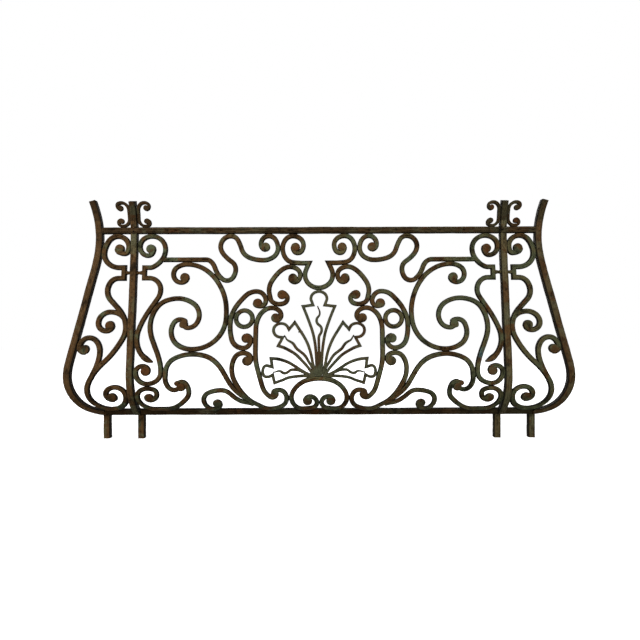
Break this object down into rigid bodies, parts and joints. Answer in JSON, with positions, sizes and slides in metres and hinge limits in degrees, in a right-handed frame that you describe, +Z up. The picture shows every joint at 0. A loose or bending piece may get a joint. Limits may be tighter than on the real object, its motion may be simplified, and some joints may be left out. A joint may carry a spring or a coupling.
{
  "type": "wrought iron balcony guard",
  "caption": "Pot-bellied balcony guard of wrought iron bars: scrolls and a palmette between two rails, with corner posts, bulging end bars and feet for a slab.",
  "frame": {"origin": "middle of the lower end of the left corner foot", "axes": "+X along the guard to its right end as seen from the front, +Z up the feet, the belly points to -Y"},
  "size_m": [1.9944, 0.122, 0.9592],
  "materials": {
    "worn_iron": "worn dark green-grey paint with rust"
  },
  "bodies": {
    "root": {"base_scroll": "worn_iron", "bottom_rail": "worn_iron", "crest_scroll": "worn_iron", "left_corner_foot": "worn_iron", "left_corner_post": "worn_iron", "left_corner_scroll": "worn_iron", "left_end_bar": "worn_iron", "left_end_foot": "worn_iron", "left_great_scroll": "worn_iron", "left_hoop_scroll": "worn_iron", "left_inner_finial": "worn_iron", "left_lyre_scroll": "worn_iron", "left_notch_studs": "worn_iron", "left_outer_finial": "worn_iron", "left_oval_scroll": "worn_iron", "left_ring": "worn_iron", "left_root_scroll": "worn_iron", "left_serpentine_bar": "worn_iron", "left_shield_bar": "worn_iron", "left_tall_scroll": "worn_iron", "left_wing_scroll": "worn_iron", "palmette": "worn_iron", "right_corner_foot": "worn_iron", "right_corner_post": "worn_iron", "right_corner_scroll": "worn_iron", "right_end_bar": "worn_iron", "right_end_foot": "worn_iron", "right_great_scroll": "worn_iron", "right_hoop_scroll": "worn_iron", "right_inner_finial": "worn_iron", "right_lyre_scroll": "worn_iron", "right_notch_studs": "worn_iron", "right_outer_finial": "worn_iron", "right_oval_scroll": "worn_iron", "right_return_rail": "worn_iron", "right_ring": "worn_iron", "right_root_scroll": "worn_iron", "right_serpentine_bar": "worn_iron", "right_shield_bar": "worn_iron", "right_tall_scroll": "worn_iron", "right_wing_scroll": "worn_iron", "top_rail": "worn_iron"}
  },
  "joints": []
}
